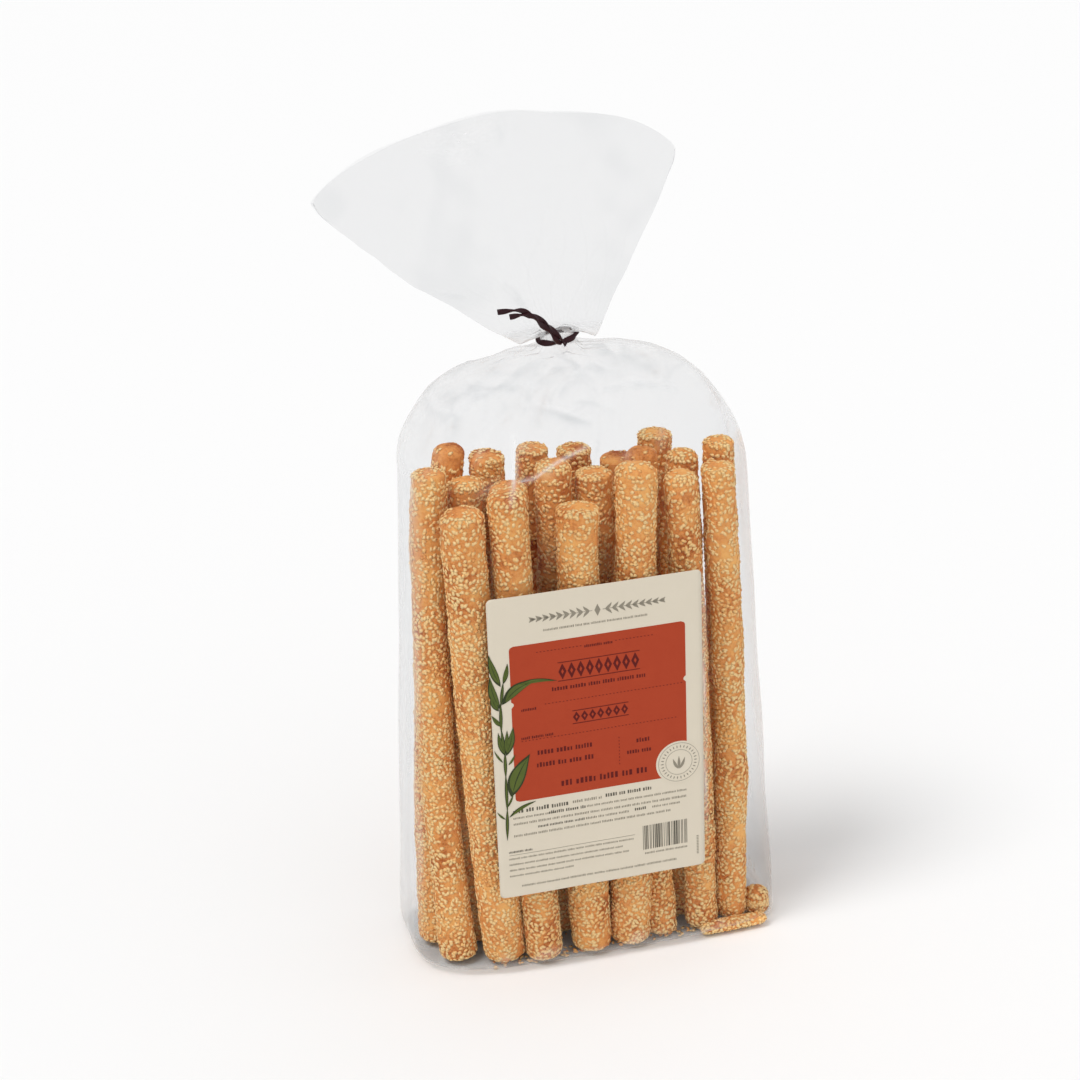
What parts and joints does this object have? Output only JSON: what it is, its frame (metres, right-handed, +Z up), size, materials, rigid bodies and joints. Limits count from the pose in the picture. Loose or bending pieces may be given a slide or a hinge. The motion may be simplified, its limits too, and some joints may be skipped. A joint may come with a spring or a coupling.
{
  "type": "tied bag of grissini breadsticks",
  "caption": "Clear film bag of sesame breadsticks standing upright, drawn together by a twist tie under a spread fan of film, with a paper label on the front.",
  "frame": {"origin": "the middle of the flat face that the bag stands on", "axes": "+Z up along the breadsticks to the neck and fan, -Y out of the labelled front, +X to the right as seen from the front"},
  "size_m": [0.1638, 0.0625, 0.3325],
  "materials": {
    "bag_film": "clear shiny film, creased over the breadsticks and at the neck",
    "label_paper": "satin cream paper with a terracotta panel",
    "tie_ribbon": "very dark maroon ribbon, slightly shiny",
    "bread_crust": "baked golden-brown crust, matte, finely pored",
    "sesame": "toasted sesame seed, satin",
    "label_ink": "printed terracotta, green and dark ink on satin paper"
  },
  "bodies": {
    "root": {"bag": "bag_film", "label": "label_paper", "twist_tie": "tie_ribbon"}
  },
  "joints": []
}
